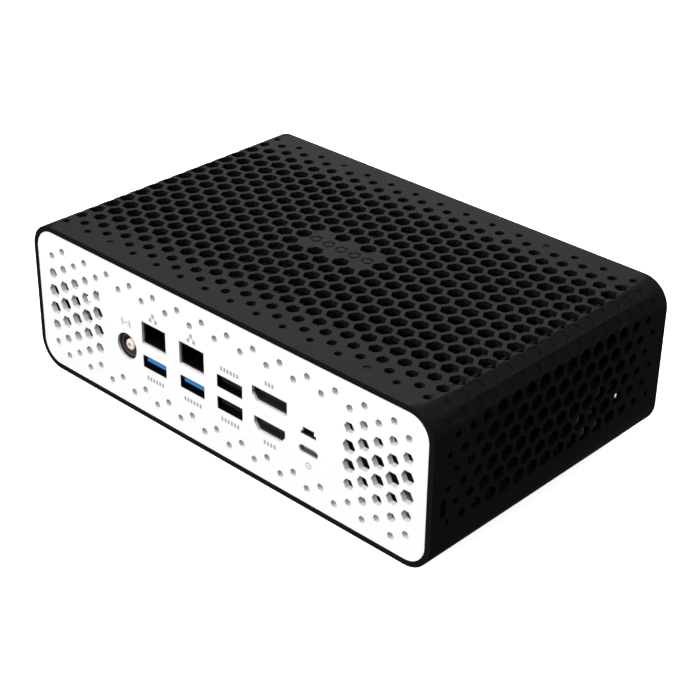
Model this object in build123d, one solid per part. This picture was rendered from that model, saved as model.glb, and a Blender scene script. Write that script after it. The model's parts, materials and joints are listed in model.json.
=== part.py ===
from build123d import *
import os
from collections import namedtuple
from math import cos, hypot, radians, sin, sqrt, tan

# A fanless mini PC. +Z up, origin on the floor under its middle, rear ports at +Y, power button at -Y.
# Millimetres throughout.

# Outer case
WIDTH, DEPTH, HEIGHT = 204.0, 129.0, 68.0
FOOT = 6.0  # the feet lift the case this far off the floor
CORNER = 11.0  # outer radius of the four long edges
WALL = 2.2
MIDDLE = (HEIGHT + FOOT) / 2
FLOOR = FOOT + WALL  # inner face of the case's bottom wall
CEILING = HEIGHT - WALL
SIDE = WIDTH / 2 - WALL  # inner face of a side wall
REAR, FRONT = DEPTH / 2, -DEPTH / 2
FIT = 0.15  # gap around a panel
LOOSE = 0.3  # gap between pieces that move apart

# Honeycomb: a triangular lattice of hexagonal holes
PITCH = 7.53  # centre to centre
COLUMN = PITCH * sqrt(3) / 2  # column to column
LAST_COLUMN = 14
LAST_ROW = 8  # rows each side of the middle
HOLE = 5.9  # across the flats of a full hole
SIDE_ROWS = range(-2, 4)  # honeycomb rows on a side wall, upwards
SIDE_ROW_ZERO = MIDDLE + 0.6
DIMPLE, DIMPLE_DEPTH = 4.8, 0.35  # blind hexagons round the top corners
DIMPLE_TURNS = (31.5, 59.5)  # degrees down from the top face
BADGE_COLUMNS = range(-2, 3)  # the middle of the top carries an emblem instead of holes
BADGE_RING, BADGE_LINE = 4.6, 0.8

# Panels
PANEL_HOLE = 5.4
PANEL_ROWS = 3
POCKET = 1.1  # the ports' faces stand this far behind the panel's face
PORT_FACE = REAR - POCKET - 0.1
FRONT_FACE = FRONT + POCKET + 0.1
SLIM_FACE = REAR - 0.4  # the small sockets reach almost through the panel

# Bottom cover and thumbscrew feet
OPENING = (164.0, 104.0)  # opening in the case's bottom wall
SCREW_X, SCREW_Y = 76.0, 46.0
KNOB, KNOB_HEIGHT, PAD = 14.0, 4.1, 12.0
M3, M3_CLEAR = 2.9, 3.4
VESA, VESA_HOLE = 75.0, 4.0

# Mainboard
BOARD_TOP, BOARD = 26.0, 1.6
BOARD_BOTTOM = BOARD_TOP - BOARD
BOARD_X = 92.0
BOARD_Y = (-58.0, 61.0)
STANDOFFS = [(x, y) for x in (-86.5, 86.5) for y in (-55.0, 55.0)] + [(60.0, -55.0), (-56.5, 55.0)]
POSTS = [(-10, 7.5), (10, 7.5), (-8, -7.5), (8, -7.5)]  # case posts, in lattice columns and rows
SINK_SCREWS = [(x, y) for x in (-39, 39) for y in (-41, 31)]

# Cooler
SINK_X, SINK_Y = 95.0, (-50.0, 38.0)
SINK_BASE, SINK_TOP, SINK_PLATE = 35.0, 63.0, 4.0
FINS, FIN = 31, 1.2
CHIP_Y = -5.0
PIPE_WIDTH, PIPE_HEIGHT = 7.5, 4.5

# Memory: the contact edges of the two modules
MEMORY_Y = (-33.0, 5.0)

# Drive
DRIVE_X, DRIVE_Y, DRIVE_Z = (-84.0, 16.0), 34.9, (12.1, 19.1)

# Rear ports: middle x and z, width and height of the opening in the panel
Port = namedtuple("Port", "x z w h")
INLET = Port(48.7, 33.3, 10.9, 10.9)
INLET_BORE, INLET_PIN = 9.1, 4.6
LAN = [Port(33.1, 42.9, 13.1, 9.4), Port(12.5, 42.9, 13.1, 9.4)]
BLUE = [Port(33.1, 30.9, 12.9, 5.3), Port(12.5, 30.9, 12.9, 5.3)]
BLACK = [Port(-7.3, 39.5, 13.0, 5.3), Port(-7.3, 30.4, 13.0, 5.3)]
WIDE_VIDEO = Port(-27.4, 42.4, 17.3, 5.6)
SMALL_VIDEO = Port(-27.4, 30.5, 15.4, 5.4)
STEPPED = Port(-46.4, 37.6, 7.2, 3.2)
REAR_C = Port(-46.4, 30.15, 9.1, 3.1)

# Front ports
BUTTON = Port(41.0, 37.0, 12.0, 12.0)
RING = 15.0
FRONT_C = Port(25.0, 29.0, 9.1, 3.1)
FRONT_A = Port(9.0, 30.2, 12.9, 5.3)
AUDIO = [Port(-5.0, 30.0, 5.4, 5.4), Port(-14.0, 30.0, 5.4, 5.4)]
CARD = Port(-34.0, 28.6, 25.0, 2.6)

# Rooms inside the sockets: width and height at the mouth, and depth
TYPE_A_ROOM, TYPE_A_DEPTH = (12.0, 4.5), 11.0
LAN_ROOM, LAN_DEPTH = (11.8, 7.2), 15.0
LATCH_ROOM = (6.0, 4.8)  # the latch's way in, above the network plug
VIDEO_DEPTH, VIDEO_WALL = 9.0, 0.4
AUDIO_BORE = 3.6
CARD_ROOM, CARD_DEPTH = (24.2, 2.2), 14.0


def block(x, y, z):
    """A block between three pairs of limits."""
    limits = (x, y, z)
    return Pos(*[sum(pair) / 2 for pair in limits]) * Box(*[pair[1] - pair[0] for pair in limits])


def centred(x, y, width, depth, z):
    return block((x - width / 2, x + width / 2), (y - depth / 2, y + depth / 2), z)


def rod(x, y, z, diameter):
    """An upright cylinder between the two heights of z."""
    return Pos(x, y, sum(z) / 2) * Cylinder(diameter / 2, z[1] - z[0])


def rod_y(x, z, y, diameter):
    """A cylinder along Y between the two limits of y."""
    return Pos(x, sum(y) / 2, z) * Rot(90, 0, 0) * Cylinder(diameter / 2, y[1] - y[0])


def along_y(sketch, x, z, y):
    """A sketch, its own Y turned up to +Z, extruded between the two limits of y."""
    return Pos(x, y[1], z) * Rot(90, 0, 0) * extrude(sketch, y[1] - y[0])


def hexagon(across):
    return RegularPolygon(across / 2, 6, major_radius=False)


def hexagon_wire(x, y, across):
    r = across / sqrt(3)
    corners = [Vector(x + r * cos(radians(a)), y + r * sin(radians(a))) for a in range(0, 360, 60)]
    return Wire.make_polygon(corners, close=True)


def lattice_rows(column, last=LAST_ROW):
    """The rows that have a hole in this column, in pitches: halves in even columns, whole numbers in odd."""
    return [row / 2 for row in range(1 - 2 * last, 2 * last) if row % 2 == (column + 1) % 2]


def faded(distance, full, start, end, loss, power):
    """Size of a hole that shrinks from full, from one distance off the middle line to another."""
    share = min(max((abs(distance) - start) / (end - start), 0), 1)
    return full - loss * share**power


def top_hole(y):
    return faded(y, HOLE, 38, 56.5, 3.2, 1.2)


def side_hole(y):
    return faded(y, 5.7, 34, 56.5, 3.4, 1.0)


def panel_hole(z):
    return faded(z, PANEL_HOLE, 0, 18.8, 2.7, 1.3)


def save(name, *pieces):
    solids = [solid for piece in pieces for solid in piece.solids()]
    export_step(solids[0] if len(solids) == 1 else Compound(solids), f"parts/{name}.step")


# Case ----------------------------------------------------------------------------------------------------


def on_badge(column, row):
    return column in BADGE_COLUMNS and abs(row) <= 0.5


def top_holes():
    for column in range(-LAST_COLUMN, LAST_COLUMN + 1):
        for row in lattice_rows(column):
            if on_badge(column, row):
                continue
            y = row * PITCH
            blind = (column, row) in POSTS
            depth = DIMPLE_DEPTH if blind else 8
            yield Pos(column * COLUMN, y, HEIGHT - depth) * extrude(hexagon(top_hole(y)), depth + 1)


def side_holes():
    """Each tool runs through both side walls."""
    for step in SIDE_ROWS:
        for row in lattice_rows(step):
            y, z = row * PITCH, SIDE_ROW_ZERO + step * COLUMN
            tool = extrude(hexagon(side_hole(y)), WIDTH / 2 + 1, both=True)
            yield Pos(0, y, z) * Rot(0, 90, 0) * tool


def corner_dimples():
    for side in (-1, 1):
        for order, turn in enumerate(DIMPLE_TURNS):
            for row in lattice_rows(order + 1):
                size = DIMPLE * top_hole(row * PITCH) / HOLE
                tool = Pos(0, row * PITCH, CORNER - DIMPLE_DEPTH) * extrude(hexagon(size), 2)
                yield Pos(side * (WIDTH / 2 - CORNER), 0, HEIGHT - CORNER) * Rot(0, side * turn, 0) * tool


def emblem():
    """Five small hexagonal rings, engraved in the plain patch in the middle of the top."""
    ring = hexagon(BADGE_RING) - hexagon(BADGE_RING - 2 * BADGE_LINE)
    for column in BADGE_COLUMNS:
        yield Pos(column * COLUMN, 0, HEIGHT - DIMPLE_DEPTH) * extrude(ring, 1)


def outer_shell():
    ring = RectangleRounded(WIDTH, HEIGHT - FOOT, CORNER)
    ring -= RectangleRounded(WIDTH - 2 * WALL, HEIGHT - FOOT - 2 * WALL, CORNER - WALL)
    shell = along_y(ring, 0, MIDDLE, (FRONT, REAR))
    mouth = Pos(0, 0, FOOT - 1) * extrude(RectangleRounded(*OPENING, 6), WALL + 2)
    lock_slot = block((-WIDTH / 2 - 1, -SIDE + 1), (57.3, 60.3), (27.3, 34.3))
    shell -= [mouth, lock_slot, *top_holes(), *side_holes(), *corner_dimples(), *emblem()]
    for column, row in POSTS:
        x, y = column * COLUMN, row * PITCH
        shell += rod(x, y, (BOARD_TOP, CEILING), 7) - rod(x, y, (BOARD_TOP - 1, BOARD_TOP + 12), 2.6)
    return shell


# Panels --------------------------------------------------------------------------------------------------


def panel_vents():
    """Two clusters of hexagons at the ends, joined by a double row of small ones at top and bottom."""
    for column in range(-LAST_COLUMN, LAST_COLUMN + 1):
        rows = lattice_rows(column, PANEL_ROWS + column % 2)
        for row in rows if abs(column) > 9 else (rows[0], rows[-1]):
            yield hexagon_wire(column * COLUMN, row * PITCH, panel_hole(row * PITCH))


def blank_panel(y):
    """A vented panel between the two limits of y, with clips that reach inwards under the case's walls."""
    width, height = WIDTH - 2 * (WALL + FIT), HEIGHT - FOOT - 2 * (WALL + FIT)
    outline = RectangleRounded(width, height, CORNER - WALL - FIT).wire()
    panel = along_y(Face(outline, list(panel_vents())), 0, MIDDLE, y)
    inward = -1 if y[1] > 0 else 1
    root = y[0] if inward < 0 else y[1]
    reach = sorted((root - inward, root + 4 * inward))
    for x in (-40, 0, 40):
        for z in (MIDDLE - height / 2, MIDDLE + height / 2 - 1.2):
            panel += block((x - 5, x + 5), reach, (z, z + 1.2))
    return panel


def rounded(port, radius, grow=0):
    width, height = port.w + grow, port.h + grow
    return RectangleRounded(width, height, min(radius, 0.49 * height))


def wide_video_outline(port, grow=0):
    """A rectangle with its lower corner on the +X side cut off."""
    w, h, cut = port.w / 2 + grow / 2, port.h / 2 + grow / 2, 2.2
    return make_face(Polyline((-w, h), (-w, -h), (w - cut, -h), (w, cut - h), (w, h), close=True))


def small_video_outline(port, grow=0):
    """A rectangle that narrows towards its lower edge."""
    w, h, cut = port.w / 2 + grow / 2, port.h / 2 + grow / 2, 2.1
    lower = [(-w, -0.1), (cut - w, -h), (w - cut, -h), (w, -0.1)]
    return make_face(Polyline((-w, h), *lower, (w, h), close=True))


def stepped_outline(port, grow=0):
    """A wide lower step with a narrower one on top."""
    w, h, step = port.w / 2 + grow / 2, port.h / 2 + grow / 2, 0.9
    half = [(w, -h), (w, grow / 2), (w - step, grow / 2), (w - step, h)]
    return make_face(Polyline(*half, *[(-x, z) for x, z in reversed(half)], close=True))


def rear_panel():
    panel = blank_panel((REAR - WALL, REAR))
    panel -= block((-54, 56), (REAR - WALL - 1, REAR - POCKET), (25.5, 52))
    through = (REAR - WALL - 1, REAR + 1)
    panel -= rod_y(INLET.x, INLET.z, through, INLET.w)
    for port in LAN:
        panel -= along_y(rounded(port, 0.2), port.x, port.z, through)
    for port in BLUE + BLACK:
        panel -= along_y(rounded(port, 0.3), port.x, port.z, through)
    panel -= along_y(wide_video_outline(WIDE_VIDEO), WIDE_VIDEO.x, WIDE_VIDEO.z, through)
    panel -= along_y(small_video_outline(SMALL_VIDEO), SMALL_VIDEO.x, SMALL_VIDEO.z, through)
    panel -= along_y(stepped_outline(STEPPED), STEPPED.x, STEPPED.z, through)
    panel -= along_y(rounded(REAR_C, 1.5), REAR_C.x, REAR_C.z, through)
    return panel


def front_panel():
    panel = blank_panel((FRONT, FRONT + WALL))
    panel -= block((-49, 33), (FRONT + POCKET, FRONT + WALL + 1), (25.5, 36))
    through = (FRONT - 1, FRONT + WALL + 1)
    panel -= rod_y(BUTTON.x, BUTTON.z, through, RING + 2 * FIT)
    panel -= along_y(rounded(FRONT_C, 1.5), FRONT_C.x, FRONT_C.z, through)
    panel -= along_y(rounded(FRONT_A, 0.3), FRONT_A.x, FRONT_A.z, through)
    panel -= along_y(rounded(CARD, 1.0), CARD.x, CARD.z, through)
    for port in AUDIO:
        panel -= rod_y(port.x, port.z, through, port.w)
    return panel


def light_ring():
    tube = rod_y(BUTTON.x, BUTTON.z, (FRONT + 0.1, FRONT + 4), RING)
    return tube - rod_y(BUTTON.x, BUTTON.z, (FRONT - 1, FRONT + 5), BUTTON.w + 2 * LOOSE)


def power_button():
    """A round cap with a shallow dish in its face and a stem that runs into the switch."""
    cap = rod_y(BUTTON.x, BUTTON.z, (FRONT, FRONT + 4), BUTTON.w)
    cap -= Pos(BUTTON.x, FRONT - 29.4, BUTTON.z) * Sphere(30)
    flange = rod_y(BUTTON.x, BUTTON.z, (FRONT + 4, FRONT + 5), BUTTON.w)
    return cap + flange + rod_y(BUTTON.x, BUTTON.z, (FRONT + 5, FRONT + 9), 3)


def power_switch():
    """The switch on its little upright board, with a bore that the button's stem presses into."""
    body = block((BUTTON.x - 3.5, BUTTON.x + 3.5), (FRONT + 8, FRONT + 12), (BUTTON.z - 3.5, BUTTON.z + 3.5))
    board = block((BUTTON.x - 7, BUTTON.x + 7), (FRONT + 12, FRONT + 13.2), (BOARD_TOP, BUTTON.z + 7))
    return body + board - rod_y(BUTTON.x, BUTTON.z, (FRONT + 7, FRONT + 11), 3 + 2 * LOOSE)


# Bottom --------------------------------------------------------------------------------------------------


def cover_vents():
    for column in range(-9, 10):
        for row in lattice_rows(column, 5):
            x, y = column * COLUMN, row * PITCH
            if hypot(abs(x) - VESA / 2, abs(y) - VESA / 2) > 9:
                yield hexagon_wire(x, y, HOLE)


def feet_places():
    return [(x, y) for x in (-SCREW_X, SCREW_X) for y in (-SCREW_Y, SCREW_Y)]


def bottom_cover():
    """A vented plate that fills the opening in the case's bottom, with bosses for a wall bracket."""
    outline = RectangleRounded(OPENING[0] - 2 * LOOSE, OPENING[1] - 2 * LOOSE, 6 - LOOSE).wire()
    cover = Pos(0, 0, FLOOR) * extrude(Face(outline, list(cover_vents())), -WALL)
    for x, y in feet_places():
        cover -= rod(x, y, (FOOT - 1, FLOOR + 1), M3_CLEAR + LOOSE)
    for x in (-VESA / 2, VESA / 2):
        for y in (-VESA / 2, VESA / 2):
            cover += rod(x, y, (FLOOR - 1, FLOOR + 2.2), 8)
            cover -= rod(x, y, (FOOT - 1, FLOOR + 3), VESA_HOLE)
    return cover


def thumbscrew(x, y):
    """A knurled foot with a screw on top, which the fingers turn."""
    knob = rod(x, y, (1.8, 1.8 + KNOB_HEIGHT), KNOB)
    groove = rod(KNOB / 2 + 0.4, 0, (1, 7), 1.6)
    grooves = [Pos(x, y, 0) * Rot(0, 0, turn) * groove for turn in range(0, 360, 20)]
    seat = rod(x, y, (1, 2.6), PAD + 0.2)
    return knob - grooves - seat + rod(x, y, (1.8 + KNOB_HEIGHT, 15), M3)


def inner_frame():
    """A sheet-steel ring on the case's floor, with four tapped corner tabs for the thumbscrew feet."""
    ring = block((-90.5, 90.5), (-58, 58), (FLOOR, FLOOR + 1.2))
    ring -= block((-82, 82), (-52, 52), (FLOOR - 1, FLOOR + 2))
    for x, y in feet_places():
        ring += centred(x, y, 14, 14, (FLOOR, FLOOR + 1.2)) + rod(x, y, (FLOOR, 16), 7)
    holes = [rod(x, y, (FLOOR - 1, 17), M3_CLEAR) for x, y in feet_places()]
    holes += [rod(x, y, (FLOOR - 1, 17), 3) for x, y in STANDOFFS]
    return ring - holes


# Mainboard and what is on it -----------------------------------------------------------------------------


def post_places():
    return [(column * COLUMN, row * PITCH) for column, row in POSTS]


def mainboard():
    board = block((-BOARD_X, BOARD_X), BOARD_Y, (BOARD_BOTTOM, BOARD_TOP))
    places = STANDOFFS + SINK_SCREWS + post_places()
    return board - [rod(x, y, (BOARD_BOTTOM - 1, BOARD_TOP + 1), 3.2) for x, y in places]


def standoff(x, y):
    body = Pos(x, y, FLOOR + 1.2) * extrude(hexagon(5.5), BOARD_BOTTOM - FLOOR - 1.2)
    return body - rod(x, y, (FLOOR, BOARD_BOTTOM + 1), 3)


def screw(x, y, seat, length, head=5.4, shank=M3):
    """A pan-head screw with a cross recess; a negative length points up, with the head under the seat."""
    way = 1 if length > 0 else -1
    piece = rod(x, y, sorted((seat, seat + 1.8 * way)), head)
    for width, depth in ((2.6, 0.7), (0.7, 2.6)):
        piece -= centred(x, y, width, depth, sorted((seat + 0.9 * way, seat + 3 * way)))
    return piece + rod(x, y, sorted((seat + 0.5 * way, seat - length)), shank)


def processor():
    """The chip package with its two bare dies."""
    package = centred(0, CHIP_Y, 45, 25, (BOARD_TOP, BOARD_TOP + 1.2))
    die_z = (BOARD_TOP + 1, BOARD_TOP + 2)
    return package + centred(-6, CHIP_Y, 18, 12, die_z) + centred(13, CHIP_Y, 9, 9, die_z)


def heat_pipe(offset, spread):
    """A flattened pipe that runs straight over the chip and fans out on both sides of it."""
    near, far = CHIP_Y + offset, CHIP_Y + spread
    z = SINK_BASE - PIPE_HEIGHT / 2
    points = [(-82, far, z), (-45, far, z), (-22, near, z), (22, near, z), (45, far, z), (82, far, z)]
    path = FilletPolyline(*points, radius=14)
    section = Plane(origin=points[0], x_dir=(0, 1, 0), z_dir=(1, 0, 0))
    return sweep(section * RectangleRounded(PIPE_WIDTH, PIPE_HEIGHT, 2.2), path=path)


def heatsink():
    sink = block((-SINK_X, SINK_X), SINK_Y, (SINK_BASE, SINK_BASE + SINK_PLATE))
    step = (2 * SINK_X - FIN) / (FINS - 1)
    for number in range(FINS):
        left = -SINK_X + number * step
        sink += block((left, left + FIN), SINK_Y, (SINK_BASE, SINK_TOP))
    for x, y in SINK_SCREWS:
        sink -= rod(x, y, (SINK_BASE + SINK_PLATE, SINK_TOP + 1), 9)
        sink += rod(x, y, (BOARD_TOP, SINK_BASE + 1), 6)
        sink -= rod(x, y, (BOARD_TOP - 1, SINK_BASE + 2), 3)
    return sink


def memory_module(y):
    """A module lying flat under the board, chips on both faces and a notch in its contact edge."""
    module = block((24, 91.6), (y, y + 30), (19.6, 20.8)) - block((52, 54), (y - 1, y + 3.5), (19, 22))
    for x in (28, 41, 58, 71):
        for z in (18.6, 20.8):
            module += block((x, x + 11), (y + 8, y + 22), (z, z + 1))
    return module


def memory_socket(y):
    """The socket that takes the module's contact edge, with an arm along each end of the module."""
    body = block((22.8, 91.8), (y - 4, y + 3.6), (18.4, BOARD_BOTTOM))
    body -= block((23.9, 91.7), (y - 0.1, y + 4), (19.5, 20.9))
    arm = block((22.8, 23.8), (y + 3, y + 30), (18.4, BOARD_BOTTOM))
    return body + arm


def wireless_card():
    card = block((-78, -48), (-41, -19), (28.4, 29.2))
    return card + block((-74, -56), (-38, -22), (29.1, 30.4))


def wireless_socket():
    socket = block((-50, -43), (-41, -19), (BOARD_TOP, 30.2)) - block((-51, -47.8), (-42, -18), (28.3, 29.3))
    return socket, rod(-80, -30, (BOARD_TOP, 28.4), 5)


def coin_cell():
    return rod(60, -15, (27.2, 30.4), 20)


def coin_cell_holder():
    """A round cup with one open side, which the cell slides into."""
    cup = rod(60, -15, (BOARD_TOP, 30), 23) - rod(60, -15, (27, 31), 20.4)
    return cup - block((66, 73), (-22, -8), (27, 31))


def board_chips():
    chips = [(-30, 30, 9), (33, 22, 8), (20, 34, 7), (-8, 30, 7), (34, -30, 10), (-15, -30, 6)]
    return [centred(x, y, size, size, (BOARD_TOP, BOARD_TOP + 1)) for x, y, size in chips]


def coils():
    return [centred(-35, CHIP_Y + y, 7, 7, (BOARD_TOP, BOARD_TOP + 4)) for y in (-16, -8, 0, 8)]


def capacitors():
    places = [(-60, y) for y in (-8, 0, 8, 16, 24)] + [(75, y) for y in (8, 16, 24)]
    return [rod(x, y, (BOARD_TOP, BOARD_TOP + 4), 5.5) for x, y in places]


# Sockets -------------------------------------------------------------------------------------------------


def back(depth):
    """Limits in Y of a rear socket this deep."""
    return PORT_FACE - depth, PORT_FACE


def room(x, z, size, depth, face=PORT_FACE):
    """The room inside a socket, from in front of its face inwards, with its middle at x and z."""
    inward = -1 if face > 0 else 1
    y = sorted((face + depth * inward, face - inward))
    return centred(x, sum(y) / 2, size[0], y[1] - y[0], (z - size[1] / 2, z + size[1] / 2))


def shell_tube(port, y, wall=0.35):
    """The thin metal mouth of a type-A socket, open towards both ends of y."""
    outer = rounded(port, 0.3, -FIT)
    inner = rounded(port, 0.2, -FIT - 2 * wall)
    return along_y(outer, port.x, port.z, y) - along_y(inner, port.x, port.z, (y[0] - 1, y[1] + 1))


def lan_stack(lan, usb):
    """A metal can with a network socket above and a type-A socket below."""
    can = block((lan.x - 8, lan.x + 8), back(21), (BOARD_TOP, lan.z + 7.2))
    can -= room(lan.x, lan.z - 0.5, LAN_ROOM, LAN_DEPTH)
    can -= room(lan.x, lan.z + LATCH_ROOM[1] / 2, LATCH_ROOM, LAN_DEPTH)
    can -= room(usb.x, usb.z, TYPE_A_ROOM, TYPE_A_DEPTH)
    return can + shell_tube(usb, (PORT_FACE - 0.5, REAR - 0.1))


def lan_contacts(lan):
    """Eight contact strips along the floor of the socket's back half."""
    y, z = (PORT_FACE - LAN_DEPTH, PORT_FACE - 9), (lan.z - 4.1, lan.z - 3.7)
    middles = [lan.x + (number - 3.5) * 1.02 for number in range(8)]
    return [block((x - 0.2, x + 0.2), y, z) for x in middles]


def lan_lights(lan):
    """Two light windows in the upper corners of a network socket's face."""
    y, z = (PORT_FACE, PORT_FACE + 0.3), (lan.z + 3.4, lan.z + 4.4)
    return [block(sorted((lan.x + side * 3.6, lan.x + side * 5.9)), y, z) for side in (-1, 1)]


def tongue(port, face=PORT_FACE, drop=0.5):
    """The plastic tongue of a type-A socket, in the upper half of its mouth."""
    inward = -1 if face > 0 else 1
    reach = sorted((face + TYPE_A_DEPTH * inward, face))
    return block((port.x - 5.5, port.x + 5.5), reach, (port.z + 2 - drop - 1.8, port.z + 2 - drop))


def double_stack():
    """A metal can with two type-A sockets, one above the other."""
    upper, lower = BLACK
    can = block((upper.x - 7.2, upper.x + 7.2), back(18), (BOARD_TOP, upper.z + 4.4))
    for port in BLACK:
        can -= room(port.x, port.z, TYPE_A_ROOM, TYPE_A_DEPTH)
        can += shell_tube(port, (PORT_FACE - 0.5, REAR - 0.1))
    return can


def video_stack():
    """A metal can with a DisplayPort-type socket over an HDMI-type socket."""
    top, low = WIDE_VIDEO, SMALL_VIDEO
    can = block((top.x - 9.8, top.x + 9.8), back(17), (BOARD_TOP, top.z + 4.4))
    y = (PORT_FACE - VIDEO_DEPTH, PORT_FACE + 1)
    can -= along_y(wide_video_outline(top, -2 * VIDEO_WALL), top.x, top.z, y)
    can -= along_y(small_video_outline(low, -2 * VIDEO_WALL), low.x, low.z, y)
    return can


def video_tongues():
    y = PORT_FACE - (VIDEO_DEPTH + 1) / 2
    wide = centred(WIDE_VIDEO.x, y, 13.2, VIDEO_DEPTH - 1, (42.2, 43.4))
    small = centred(SMALL_VIDEO.x, y, 11.2, VIDEO_DEPTH - 1, (30.0, 31.2))
    return wide, small


def c_socket(port, face):
    """A type-C socket: a flat oval metal tube with a tongue down its middle."""
    inward = -1 if face > 0 else 1
    y = sorted((face, face + 7.5 * inward))
    tube = along_y(rounded(port, 1.45, -0.2), port.x, port.z, y)
    open_y = sorted((face - inward, face + 6.5 * inward))
    tube -= along_y(rounded(port, 1.2, -0.7), port.x, port.z, open_y)
    tube += block((port.x - 3.2, port.x + 3.2), sorted((face + 0.8 * inward, face + 7 * inward)),
                  (port.z - 0.35, port.z + 0.35))
    foot = (face + 2 * inward, face + 7 * inward)
    return tube + block((port.x - 3.5, port.x + 3.5), sorted(foot), (BOARD_TOP, port.z - 1.2))


def stepped_socket():
    """The small socket over the type-C one, on a plastic riser behind it."""
    mouth = along_y(stepped_outline(STEPPED, -0.2), STEPPED.x, STEPPED.z, (PORT_FACE - 7, SLIM_FACE))
    mouth -= along_y(stepped_outline(STEPPED, -1.0), STEPPED.x, STEPPED.z, (PORT_FACE - 4, REAR + 1))
    riser = block((STEPPED.x - 4, STEPPED.x + 4), back(13), (BOARD_TOP, STEPPED.z + 2))
    across = (STEPPED.x - 5, STEPPED.x + 5)
    riser -= block(across, (PORT_FACE - 9, PORT_FACE + 1), (BOARD_TOP - 1, STEPPED.z - 2.5))
    riser -= block(across, (PORT_FACE - 6.5, PORT_FACE + 1), (30, 50))
    return mouth + riser


def inlet_body():
    body = block((INLET.x - 6.5, INLET.x + 6.5), back(14), (BOARD_TOP, INLET.z + 6.5))
    body += rod_y(INLET.x, INLET.z, (PORT_FACE - 1, REAR - 0.9), INLET.w - 0.3)
    return body - rod_y(INLET.x, INLET.z, (PORT_FACE - 11, REAR + 1), INLET_BORE + 0.1)


def inlet_sleeve():
    """The spring sleeve that lines the inlet."""
    sleeve = rod_y(INLET.x, INLET.z, (PORT_FACE - 11, PORT_FACE - 0.3), INLET_BORE)
    return sleeve - rod_y(INLET.x, INLET.z, (PORT_FACE - 12, REAR), INLET_BORE - 0.8)


def inlet_pin():
    pin = rod_y(INLET.x, INLET.z, (PORT_FACE - 11, PORT_FACE), INLET_PIN)
    rim = pin.faces().sort_by(Axis.Y)[-1].edges()
    return fillet(rim, 0.8) - rod_y(INLET.x, INLET.z, (PORT_FACE - 5, REAR), 1.6)


def front_a_socket():
    port = FRONT_A
    can = block((port.x - 7.2, port.x + 7.2), (FRONT_FACE, FRONT_FACE + 14), (BOARD_TOP, port.z + 3.6))
    can -= room(port.x, port.z, TYPE_A_ROOM, TYPE_A_DEPTH, FRONT_FACE)
    return can + shell_tube(port, (FRONT + 0.1, FRONT_FACE + 0.5))


def audio_socket(port):
    body = block((port.x - 3.4, port.x + 3.4), (FRONT_FACE, FRONT_FACE + 12), (BOARD_TOP, port.z + 3.2))
    body += rod_y(port.x, port.z, (FRONT + 0.4, FRONT_FACE + 1), port.w - 0.3)
    return body - rod_y(port.x, port.z, (FRONT - 1, FRONT_FACE + 11), AUDIO_BORE)


def card_socket():
    port = CARD
    body = block((port.x - 13, port.x + 13), (FRONT_FACE, FRONT_FACE + 16), (BOARD_TOP, port.z + 1.8))
    return body - room(port.x, port.z, CARD_ROOM, CARD_DEPTH, FRONT_FACE)


# Aerials -------------------------------------------------------------------------------------------------


def antenna(side, y, z):
    """A thin board on the inner face of a side wall, with a folded metal strip on it."""
    board = block(sorted((side * (SIDE - 0.9), side * (SIDE - 0.2))), y, z)
    strip_y, strip_z = (y[0] + 2, y[1] - 4), (z[0] + 3, z[1] - 3)
    return board + block(sorted((side * (SIDE - 1.1), side * (SIDE - 0.85))), strip_y, strip_z)


def lead(points, diameter=1.1):
    """A thin cable through these points, rounded as far as its runs allow."""
    radii = []
    for before, corner, after in zip(points, points[1:], points[2:]):
        into, out = Vector(corner) - Vector(before), Vector(after) - Vector(corner)
        radii.append(0.45 * min(into.length, out.length) / tan(radians(into.get_angle(out) / 2)))
    path = FilletPolyline(*points, radius=radii)
    start = Plane(origin=points[0], z_dir=Vector(points[1]) - Vector(points[0]))
    return sweep(start * Circle(diameter / 2), path=path)


LEFT_ANTENNA_Y, LEFT_ANTENNA_Z = (-60, -32), (38, 57)
RIGHT_ANTENNA_Y, RIGHT_ANTENNA_Z = (22, 50), (38, 57)
LEFT_LEAD = [(-70, -42, 29.4), (-84, -44, 29.6), (-95, -43, 31), (-97.8, -40, 40)]
RIGHT_LEAD = [(-62, -42, 29.4), (-52, -46, 32), (-20, -47, 33), (20, -47.4, 33), (60, -47, 33),
              (88, -45, 32), (97, -34, 31), (97.8, 0, 31), (97.8, 30, 34), (97.8, 36, 44)]


# Drive ---------------------------------------------------------------------------------------------------


def drive():
    """A 2.5 inch drive with a recess in its end for the connector."""
    body = block(DRIVE_X, (-DRIVE_Y, DRIVE_Y), DRIVE_Z)
    body -= block((DRIVE_X[1] - 6, DRIVE_X[1] + 1), (-21, 21), (13.4, 17.8))
    for x in (DRIVE_X[0] + 10, DRIVE_X[0] + 86):
        for side in (-1, 1):
            body -= rod_y(x, 15, sorted((side * (DRIVE_Y - 4), side * (DRIVE_Y + 1))), 3)
    return body


def drive_tray():
    """A folded sheet tray, open at both ends, with a pull tab."""
    x = (DRIVE_X[0] - 1, DRIVE_X[1] - 8)
    tray = block(x, (-35.9, 35.9), (11.2, 12))
    tray -= block((x[0] + 20, x[1] - 20), (-20, 20), (11, 12.1))
    for side in (-1, 1):
        tray += block(x, sorted((side * 35.1, side * 35.9)), (11.2, 17))
    tray += block((x[0] - 0.8, x[0]), (-8, 8), (11.2, 18))
    for place in (DRIVE_X[0] + 10, DRIVE_X[0] + 86):
        tray -= rod_y(place, 15, (-40, 40), 3.2)
    return tray


def drive_screws():
    """Low screws through the tray's walls into the drive's sides."""
    pieces = []
    for x in (DRIVE_X[0] + 10, DRIVE_X[0] + 86):
        for side in (-1, 1):
            head = rod_y(x, 15, sorted((side * 35.9, side * 36.5)), 5)
            pieces.append(head + rod_y(x, 15, sorted((side * (DRIVE_Y - 3), side * 36)), 2.8))
    return pieces


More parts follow.
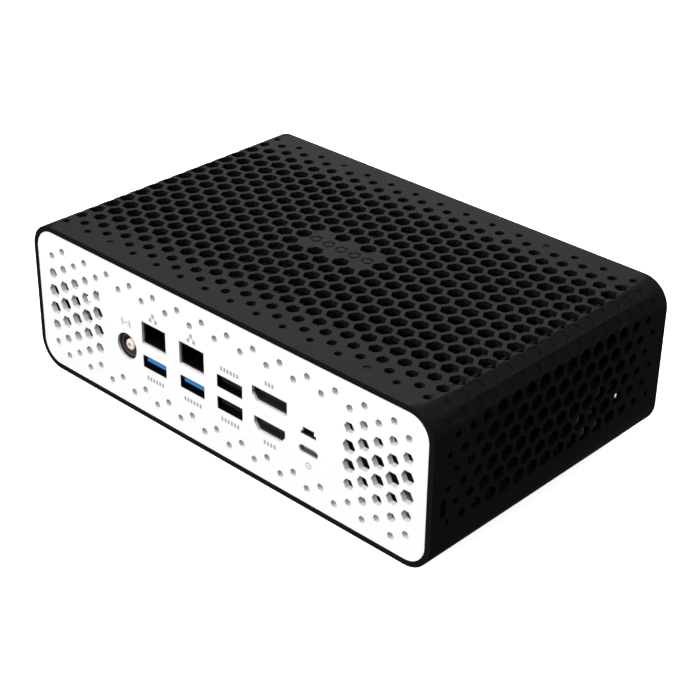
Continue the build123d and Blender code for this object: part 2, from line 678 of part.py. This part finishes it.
def drive_bracket():
    """A sheet cover over the drive, on four spacers, with tabs that carry the tray."""
    x = (DRIVE_X[0] + 14, DRIVE_X[1] - 10)
    bracket = block(x, (-38.1, 38.1), (20.4, 21.4))
    bracket -= [centred(place, 0, 14, 40, (20, 22)) for place in (-52, -32, -12)]
    for side in (-1, 1):
        bracket += block(x, sorted((side * 37.1, side * 38.1)), (9.9, 21.4))
        bracket -= block((-43, -32), sorted((side * 36, side * 39)), (9, 14))
        for place in (-62, -22, -4):
            bracket += centred(place, side * 34.6, 12, 7, (9.9, 10.9))
    for place in (-66, 2):
        for y in (-30, 30):
            bracket += rod(place, y, (21, BOARD_BOTTOM), 5)
    return bracket


def drive_connector():
    body = block((DRIVE_X[1] + 0.4, DRIVE_X[1] + 6), (-22, 22), (12.6, BOARD_BOTTOM))
    return body + block((DRIVE_X[1] - 4.5, DRIVE_X[1] + 1), (-19, 19), (15, 16.2))


def main():
    os.makedirs("parts", exist_ok=True)

    save("outer_shell", outer_shell())
    save("rear_panel", rear_panel())
    save("front_panel", front_panel())
    save("light_ring", light_ring())
    save("power_button", power_button())
    save("power_switch", power_switch())

    save("bottom_cover", bottom_cover())
    save("inner_frame", inner_frame())
    for number, (x, y) in enumerate(feet_places(), 1):
        save(f"thumbscrew_{number}", thumbscrew(x, y))
        save(f"foot_pad_{number}", rod(x, y, (0, 2.6), PAD))

    save("mainboard", mainboard())
    save("standoffs", *[standoff(x, y) for x, y in STANDOFFS])
    save("board_screws", *[screw(x, y, BOARD_TOP, 6) for x, y in STANDOFFS])
    save("post_screws", *[screw(x, y, BOARD_BOTTOM, -10, shank=2.5) for x, y in post_places()])
    save("processor", processor())
    save("cold_plate", centred(0, CHIP_Y, 62, 48, (BOARD_TOP + 2, SINK_BASE - PIPE_HEIGHT)))
    save("heat_pipes", *[heat_pipe(*pair) for pair in ((-13.5, -27), (-4.5, -9), (4.5, 9), (13.5, 27))])
    save("heatsink", heatsink())
    save("heatsink_screws", *[screw(x, y, BOARD_BOTTOM, -8) for x, y in SINK_SCREWS])
    save("memory_sockets", *[memory_socket(y) for y in MEMORY_Y])
    save("memory_modules", *[memory_module(y) for y in MEMORY_Y])
    save("wireless_card", wireless_card())
    save("wireless_socket", *wireless_socket())
    save("coin_cell", coin_cell())
    save("coin_cell_holder", coin_cell_holder())
    save("board_chips", *board_chips())
    save("coils", *coils())
    save("capacitors", *capacitors())

    save("lan_stack_1", lan_stack(LAN[0], BLUE[0]))
    save("lan_stack_2", lan_stack(LAN[1], BLUE[1]))
    save("lan_contacts", *[wire for port in LAN for wire in lan_contacts(port)])
    save("lan_lights", *[light for port in LAN for light in lan_lights(port)])
    save("blue_tongues", *[tongue(port) for port in BLUE], tongue(FRONT_A, FRONT_FACE))
    save("type_a_stack", double_stack())
    save("black_tongues", *[tongue(port) for port in BLACK])
    save("video_stack", video_stack())
    save("video_tongues", *video_tongues())
    save("stepped_socket", stepped_socket())
    save("rear_type_c_socket", c_socket(REAR_C, SLIM_FACE))
    save("inlet_body", inlet_body())
    save("inlet_sleeve", inlet_sleeve())
    save("inlet_pin", inlet_pin())
    save("front_type_a_socket", front_a_socket())
    save("front_type_c_socket", c_socket(FRONT_C, FRONT_FACE))
    save("audio_sockets", *[audio_socket(port) for port in AUDIO])
    save("card_socket", card_socket())

    left = antenna(-1, LEFT_ANTENNA_Y, LEFT_ANTENNA_Z)
    save("antennas", left, antenna(1, RIGHT_ANTENNA_Y, RIGHT_ANTENNA_Z))
    save("antenna_leads", lead(LEFT_LEAD), lead(RIGHT_LEAD))

    save("drive", drive())
    save("drive_tray", drive_tray())
    save("drive_screws", *drive_screws())
    save("drive_bracket", drive_bracket())
    save("drive_connector", drive_connector())


main()
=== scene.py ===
import json
import math

import bmesh
import bpy
from mathutils import Matrix, Vector


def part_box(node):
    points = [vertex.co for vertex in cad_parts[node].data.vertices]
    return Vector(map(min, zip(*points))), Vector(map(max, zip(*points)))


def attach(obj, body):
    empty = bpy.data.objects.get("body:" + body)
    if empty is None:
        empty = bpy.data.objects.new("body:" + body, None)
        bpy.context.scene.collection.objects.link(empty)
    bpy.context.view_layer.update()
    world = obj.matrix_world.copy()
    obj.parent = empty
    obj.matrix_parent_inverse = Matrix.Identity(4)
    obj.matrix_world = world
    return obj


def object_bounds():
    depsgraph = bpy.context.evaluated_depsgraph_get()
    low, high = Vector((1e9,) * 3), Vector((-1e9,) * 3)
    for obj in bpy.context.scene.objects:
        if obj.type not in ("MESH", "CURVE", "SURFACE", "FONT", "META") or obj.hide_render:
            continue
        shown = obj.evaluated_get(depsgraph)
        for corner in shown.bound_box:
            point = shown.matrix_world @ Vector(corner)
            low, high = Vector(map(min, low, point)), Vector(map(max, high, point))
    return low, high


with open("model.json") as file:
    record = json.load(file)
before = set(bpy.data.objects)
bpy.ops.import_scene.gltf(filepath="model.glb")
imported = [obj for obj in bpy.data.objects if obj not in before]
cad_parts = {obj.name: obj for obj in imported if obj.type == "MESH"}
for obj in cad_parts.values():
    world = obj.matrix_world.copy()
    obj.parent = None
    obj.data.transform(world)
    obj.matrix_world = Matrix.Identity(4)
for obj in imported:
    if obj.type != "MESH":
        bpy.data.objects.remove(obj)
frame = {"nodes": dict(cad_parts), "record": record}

# A fanless mini PC: the CAD's pieces with finished surfaces, and the marks printed on its panels

CAD_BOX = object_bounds()
NODES = frame["nodes"]
MM = 0.001
PANEL = 2.2  # thickness of the end panels
REAR = CAD_BOX[1].y / MM
FRONT = -REAR
DISH, DISH_RADIUS = 0.6, 30.0  # depth and radius of the dish in the power button

# Printed marks, in millimetres
INK = 0.03  # how far the ink stands up
GREY_INK, BUTTON_INK = (0.36, 0.36, 0.36), (0.45, 0.45, 0.45)
DASH, DASH_HEIGHT, DASH_PITCH = 0.95, 1.7, 1.65
BOX = 1.4  # a box of the network sign
LOW_CAPTION = 24.3  # height of the captions under the sockets
LAN_X, LAN_SIGN_Z = (33.1, 12.5), 51.0
INLET_X, INLET_SIGN_Z = 48.7, 43.4
TYPE_A_X, TYPE_A_CAPTION = -7.3, 45.2
VIDEO_X, VIDEO_CAPTION = -27.4, 48.6
TYPE_C_X = -46.4
FRONT_CAPTIONS = {25.0: 3, 9.0: 4, -5.0: 2, -14.0: 2, -34.0: 4}  # dashes under the front socket at each x

WHITE, PAINTED_SHADE_BLACK = (0.88, 0.88, 0.88), (0.004, 0.004, 0.004)  # the panels' outer face, and the black painted on their inner face as shade
SHARP = math.radians(40)  # edges sharper than this are rounded

# The camera, where a photographer would stand: behind the left rear corner and above
CAMERA = Vector((-383.4, 408.3, 347.9)) * MM
AIM = Vector((-6.3, 1.2, 28.1)) * MM
LENS, ROLL = 86.6, math.radians(1.04)

# The studio, in metres
LAMP_AIM = Vector((0, 0, 0.04))
FLOOR_REACH, DOME = 6, 5.5  # half the floor's side, and the radius of the dome over it
GLOW = 0.9  # how bright floor and dome are by themselves, which hides the shadow


# Materials -----------------------------------------------------------------------------------------------


class Nodes:
    """Short calls for building a material's node tree."""

    def __init__(self, name, color, roughness, metallic=0.0, **sockets):
        self.material = bpy.data.materials.new(name)
        self.material.use_nodes = True
        self.tree = self.material.node_tree
        self.shader = self.tree.nodes["Principled BSDF"]
        plain = {"Base Color": (*color, 1), "Roughness": roughness, "Metallic": metallic}
        self.set(self.shader, {**plain, **sockets})
        self.place = self.tree.nodes.new("ShaderNodeTexCoord").outputs["Object"]

    @staticmethod
    def set(node, values):
        for name, value in values.items():
            node.inputs[name].default_value = value

    def link(self, source, node, name):
        self.tree.links.new(source, node.inputs[name])

    def noise(self, size, detail=2.0, stretch=(1, 1, 1)):
        """Noise whose grains are about size millimetres, drawn out by stretch along the axes."""
        mapping = self.tree.nodes.new("ShaderNodeMapping")
        mapping.inputs["Scale"].default_value = [1 / s for s in stretch]
        self.link(self.place, mapping, "Vector")
        node = self.tree.nodes.new("ShaderNodeTexNoise")
        self.set(node, {"Scale": 1 / (size * MM), "Detail": detail})
        self.link(mapping.outputs["Vector"], node, "Vector")
        return node.outputs["Fac"]

    def cells(self, size):
        """Distance to the nearest edge of irregular cells about size millimetres across."""
        node = self.tree.nodes.new("ShaderNodeTexVoronoi")
        node.feature = "DISTANCE_TO_EDGE"
        self.set(node, {"Scale": 1 / (size * MM), "Randomness": 0.8})
        self.link(self.place, node, "Vector")
        return node.outputs["Distance"]

    def ramp(self, source, low, high, start=0.3, end=0.7):
        """A value that goes from low to high as the source goes from start to end."""
        node = self.tree.nodes.new("ShaderNodeMapRange")
        self.set(node, {"From Min": start, "From Max": end, "To Min": low, "To Max": high})
        self.link(source, node, "Value")
        return node.outputs["Result"]

    def mix(self, source, one, other, start=0.3, end=0.7):
        """A colour that goes from one to other as the source goes from start to end."""
        node = self.tree.nodes.new("ShaderNodeValToRGB")
        for stop, place, color in zip(node.color_ramp.elements, (start, end), (one, other)):
            stop.position, stop.color = place, (*color, 1)
        self.link(source, node, "Fac")
        return node.outputs["Color"]

    def bump(self, height, depth, strength=1.0):
        """Bump that is depth millimetres deep."""
        node = self.tree.nodes.new("ShaderNodeBump")
        self.set(node, {"Strength": strength, "Distance": depth * MM})
        self.link(height, node, "Height")
        if self.shader.inputs["Normal"].links:
            self.link(self.shader.inputs["Normal"].links[0].from_socket, node, "Normal")
        self.link(node.outputs["Normal"], self.shader, "Normal")


def shade(color, factor):
    return [channel * factor for channel in color]


def moulded(name, color, roughness, grain=0.28, depth=0.02, **sockets):
    """Moulded plastic: a fine eroded grain, and faint wider changes of gloss and tone."""
    make = Nodes(name, color, roughness, **sockets)
    wide = make.noise(9, 3)
    make.link(make.ramp(wide, roughness - 0.015, roughness + 0.015), make.shader, "Roughness")
    make.link(make.mix(wide, shade(color, 0.97), shade(color, 1.03)), make.shader, "Base Color")
    make.bump(make.noise(grain, 3), depth)
    return make.material


def panel_plastic():
    """White satin plastic with painted shade: black on its inner face, standing in for the dark inside of the
    case, so that no light bounces about in the case.
    """
    make = Nodes("white_plastic", WHITE, 0.35)
    axes = make.tree.nodes.new("ShaderNodeSeparateXYZ")
    make.link(make.place, axes, "Vector")
    depth = make.tree.nodes.new("ShaderNodeMath")
    depth.operation = "ABSOLUTE"
    make.link(axes.outputs["Y"], depth, 0)
    # Painted shade: the panel turns black over its last tenth of a millimetre and on its inner face
    inner = CAD_BOX[1].y - (PANEL - 0.1) * MM
    make.link(make.mix(make.ramp(depth.outputs[0], 0, 1, inner - 0.05 * MM, inner), PAINTED_SHADE_BLACK, WHITE, 0.4, 0.6),
              make.shader, "Base Color")
    make.bump(make.noise(0.3, 3), 0.006)
    return make.material


def circuit_board():
    """Dark solder mask over a net of slightly raised, lighter copper tracks."""
    mask, track = (0.004, 0.012, 0.008), (0.01, 0.035, 0.02)
    make = Nodes("board", mask, 0.35)
    net = make.cells(2.4)
    make.link(make.mix(net, track, mask, 0.05, 0.09), make.shader, "Base Color")
    make.bump(make.ramp(net, 1, 0, 0.05, 0.09), 0.03)
    make.bump(make.noise(0.3, 3), 0.005)
    return make.material


def rubber():
    """Soft matt rubber with a coarse pebbled face."""
    make = Nodes("rubber", (0.02, 0.02, 0.02), 0.8)
    pebbles = make.cells(0.5)
    make.link(make.ramp(pebbles, 0.65, 0.85, 0, 0.3), make.shader, "Roughness")
    make.bump(pebbles, 0.06)
    return make.material


def metal(name, color, roughness, stretch=(1, 1, 1), grain=0.5, metallic=0.8):
    """Metal with fine scratches drawn out along one axis, and cloudy handling marks."""
    make = Nodes(name, color, roughness, metallic)
    cloud = make.noise(6, 4)
    make.link(make.ramp(cloud, roughness * 0.8, roughness * 1.3), make.shader, "Roughness")
    make.link(make.mix(cloud, shade(color, 0.88), color), make.shader, "Base Color")
    make.bump(make.noise(grain, 4, stretch), 0.01, 0.6)
    return make.material


MATERIALS = {
    "black_plastic": moulded("black_plastic", (0.006, 0.006, 0.0062), 0.42),
    "white_plastic": panel_plastic(),
    "light_plastic": moulded("light_plastic", (0.75, 0.8, 0.78), 0.25),
    "black_plastic_gloss": moulded("black_plastic_gloss", (0.01, 0.01, 0.01), 0.3),
    "blue_plastic": moulded("blue_plastic", (0.035, 0.2, 0.62), 0.3),
    "steel": metal("steel", (0.62, 0.62, 0.6), 0.3),
    "dark_metal": metal("dark_metal", (0.12, 0.12, 0.12), 0.35),
    "board": circuit_board(),
    "chip": moulded("chip", (0.02, 0.02, 0.02), 0.5),
    "brass": metal("brass", (0.8, 0.62, 0.3), 0.3),
    "gold": metal("gold", (1.0, 0.75, 0.35), 0.2),
    "copper": metal("copper", (0.9, 0.5, 0.35), 0.3),
    "aluminium": metal("aluminium", (0.05, 0.05, 0.052), 0.35, (1, 20, 1)),
    "rubber": rubber(),
}
SHIELD = metal("tinned_shield", (0.03, 0.03, 0.03), 0.4, metallic=0.9)
SLEEVE = metal("spring_sleeve", (0.4, 0.33, 0.3), 0.3, metallic=0.75)
SMOKED = moulded("smoked_plastic", (0.03, 0.025, 0.015), 0.15)
PIN = metal("plated_pin", (1.0, 0.86, 0.8), 0.2, metallic=0.1)
OWN_FINISH = {"lan_stack_1": SHIELD, "lan_stack_2": SHIELD, "type_a_stack": SHIELD, "lan_lights": SMOKED,
              "inlet_pin": PIN, "inlet_sleeve": SLEEVE}
for part in frame["record"]["subparts"]:
    mesh = NODES[part["node"]].data
    mesh.materials.clear()
    mesh.materials.append(OWN_FINISH.get(part["node"], MATERIALS[part["material_slot"]]))


def soften(width, *nodes):
    """Rounds the edges of CAD nodes by width millimetres, as moulding or stamping leaves them."""
    for node in nodes:
        piece = NODES[node]
        weld = piece.modifiers.new("weld", "WELD")
        weld.merge_threshold = 0.001 * MM
        bevel = piece.modifiers.new("bevel", "BEVEL")
        bevel.width, bevel.segments = width * MM, 2
        bevel.limit_method, bevel.angle_limit = "ANGLE", SHARP
        bevel.harden_normals = True


THUMBSCREWS = [f"thumbscrew_{number}" for number in range(1, 5)]
FOOT_PADS = [f"foot_pad_{number}" for number in range(1, 5)]
soften(0.2, "outer_shell", "power_button", "drive", *THUMBSCREWS, *FOOT_PADS)
soften(0.12, "light_ring", "bottom_cover", "blue_tongues", "black_tongues")
soften(0.08, "drive_tray", "drive_bracket", "inner_frame", "inlet_body", "lan_stack_1", "lan_stack_2",
       "type_a_stack", "video_stack", "front_type_a_socket")


# Printed marks on the panels -----------------------------------------------------------------------------


class Print:
    """Ink on a surface: thin shapes drawn in X and Z, raised a hair above it.

    face is the surface's Y, or a function that gives it at x and z.
    """

    def __init__(self, name, body, outward, face, color):
        self.name, self.body, self.color = name, body, color
        self.outward = outward
        self.face = face if callable(face) else lambda x, z: face
        self.form = bmesh.new()

    def shape(self, outline):
        """A closed outline of points in millimetres, as a thin slab."""
        rings = []
        for lift in (-INK * self.outward, INK * self.outward):
            points = [(x * MM, (self.face(x, z) + lift) * MM, z * MM) for x, z in outline]
            rings.append([self.form.verts.new(point) for point in points])
        low, high = rings
        self.form.faces.new(low)
        self.form.faces.new(high)
        for one, two, three, four in zip(low, low[1:] + low[:1], high[1:] + high[:1], high):
            self.form.faces.new((one, two, three, four))

    def bar(self, x, z, width, height):
        w, h = width / 2, height / 2
        self.shape([(x - w, z - h), (x + w, z - h), (x + w, z + h), (x - w, z + h)])

    def arc(self, x, z, radius, line, start, end, steps=16):
        """An arc of a ring between two angles in degrees, in short pieces that follow the face."""
        def point(step, r):
            turn = math.radians(start + (end - start) * step / steps)
            return x + r * math.cos(turn), z + r * math.sin(turn)

        inner, outer = radius - line / 2, radius + line / 2
        for step in range(steps):
            near, far = [point(step, r) for r in (inner, outer)], [point(step + 1, r) for r in (outer, inner)]
            self.shape(near + far)

    def dashes(self, x, z, count):
        """A row of plain upright dashes, where a caption would be."""
        for number in range(count):
            self.bar(x + (number - (count - 1) / 2) * DASH_PITCH, z, DASH, DASH_HEIGHT)

    def network(self, x, z):
        """Three linked boxes."""
        self.bar(x, z + 1.0, BOX, BOX)
        for side in (-1.5, 1.5):
            self.bar(x + side, z - 1.2, BOX, BOX)
        self.bar(x, z - 0.1, 3.2, 0.25)

    def finish(self):
        bmesh.ops.remove_doubles(self.form, verts=self.form.verts, dist=0.0001 * MM)
        bmesh.ops.recalc_face_normals(self.form, faces=self.form.faces)
        data = bpy.data.meshes.new(self.name)
        self.form.to_mesh(data)
        self.form.free()
        piece = bpy.data.objects.new(self.name, data)
        bpy.context.collection.objects.link(piece)
        data.materials.append(moulded(f"ink_{self.name}", self.color, 0.6, 0.2, 0.003))
        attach(piece, self.body)


def rear_marks():
    ink = Print("rear_marks", "case", 1, REAR, GREY_INK)
    for x in LAN_X:
        ink.network(x, LAN_SIGN_Z)
        ink.dashes(x, LOW_CAPTION, 6)
    for start in (-40, 140):
        ink.arc(INLET_X, INLET_SIGN_Z, 2.4, 0.5, start, start + 80)
        ink.arc(INLET_X, INLET_SIGN_Z, 1.4, 0.4, start, start + 80)
    ink.bar(INLET_X, INLET_SIGN_Z, 0.7, 0.7)
    ink.dashes(TYPE_A_X, TYPE_A_CAPTION, 6)
    ink.dashes(TYPE_A_X, LOW_CAPTION, 6)
    ink.dashes(VIDEO_X, VIDEO_CAPTION, 3)
    ink.dashes(VIDEO_X, LOW_CAPTION, 4)
    ink.arc(TYPE_C_X, LOW_CAPTION, 1.2, 0.4, 0, 360)
    ink.bar(TYPE_C_X, LOW_CAPTION, 0.9, 0.4)
    ink.finish()


def front_marks():
    ink = Print("front_marks", "case", -1, FRONT, GREY_INK)
    for x, count in FRONT_CAPTIONS.items():
        ink.dashes(x, LOW_CAPTION, count)
    ink.finish()


def button_mark():
    """The power sign, in the dish of the button's face."""
    low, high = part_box("power_button")
    middle = (low + high) / 2 / MM

    def dish(x, z):
        across = DISH_RADIUS**2 - (x - middle.x)**2 - (z - middle.z)**2
        return FRONT + DISH - DISH_RADIUS + math.sqrt(across)

    ink = Print("button_mark", "power_button", -1, dish, BUTTON_INK)
    ink.arc(middle.x, middle.z, 2.6, 0.5, -235, 55, 24)
    ink.bar(middle.x, middle.z + 2.2, 0.5, 2.4)
    ink.finish()


rear_marks()
front_marks()
button_mark()


# Studio --------------------------------------------------------------------------------------------------


def backdrop(name, form, material):
    """A white surface round the object that gives it no light of its own."""
    data = bpy.data.meshes.new(name)
    form.to_mesh(data)
    form.free()
    data.materials.append(material)
    piece = bpy.data.objects.new(name, data)
    bpy.context.collection.objects.link(piece)
    piece.visible_glossy, piece.visible_diffuse = False, False
    return piece


def softbox(name, place, size, power, diffuse=True, glossy=True):
    """A round soft light, aimed at the object, that may leave out its diffuse or its glossy light."""
    lamp = bpy.data.lights.new(name, "AREA")
    lamp.shape, lamp.size, lamp.energy = "DISK", size, power
    holder = bpy.data.objects.new(name, lamp)
    holder.location = place
    holder.rotation_euler = (LAMP_AIM - Vector(place)).to_track_quat("-Z", "Y").to_euler()
    holder.visible_diffuse, holder.visible_glossy = diffuse, glossy
    bpy.context.collection.objects.link(holder)


def studio():
    paper = moulded("floor_paper", (0.93, 0.93, 0.93), 0.9,
                    **{"Emission Color": (1, 1, 1, 1), "Emission Strength": GLOW})
    form = bmesh.new()
    bmesh.ops.create_grid(form, x_segments=8, y_segments=8, size=FLOOR_REACH)
    backdrop("floor", form, paper)
    form = bmesh.new()
    bmesh.ops.create_uvsphere(form, u_segments=48, v_segments=24, radius=DOME)
    backdrop("dome", form, paper).visible_shadow = False

    softbox("key", (0.1, 2.0, 0.9), 1.2, 56, glossy=False)
    softbox("sheen", (1.5, -1.6, 1.25), 1.6, 3.3, diffuse=False)
    softbox("over", (0, 0, 2.0), 3.0, 50, glossy=False)
    softbox("front_fill", (-0.3, -2.0, 0.9), 1.2, 44, glossy=False)

    world = bpy.data.worlds.new("world")
    world.use_nodes = True
    background = world.node_tree.nodes["Background"]
    Nodes.set(background, {"Color": (1, 1, 1, 1), "Strength": 0.04})
    bpy.context.scene.world = world


def camera():
    data = bpy.data.cameras.new("camera")
    data.lens, data.sensor_width = LENS, 36
    holder = bpy.data.objects.new("camera", data)
    holder.location = CAMERA
    turn = (AIM - CAMERA).to_track_quat("-Z", "Y").to_matrix()
    holder.rotation_euler = (turn @ Matrix.Rotation(ROLL, 3, "Z")).to_euler()
    bpy.context.collection.objects.link(holder)
    bpy.context.scene.camera = holder


camera()
studio()
bpy.context.scene.view_settings.view_transform = "Standard"
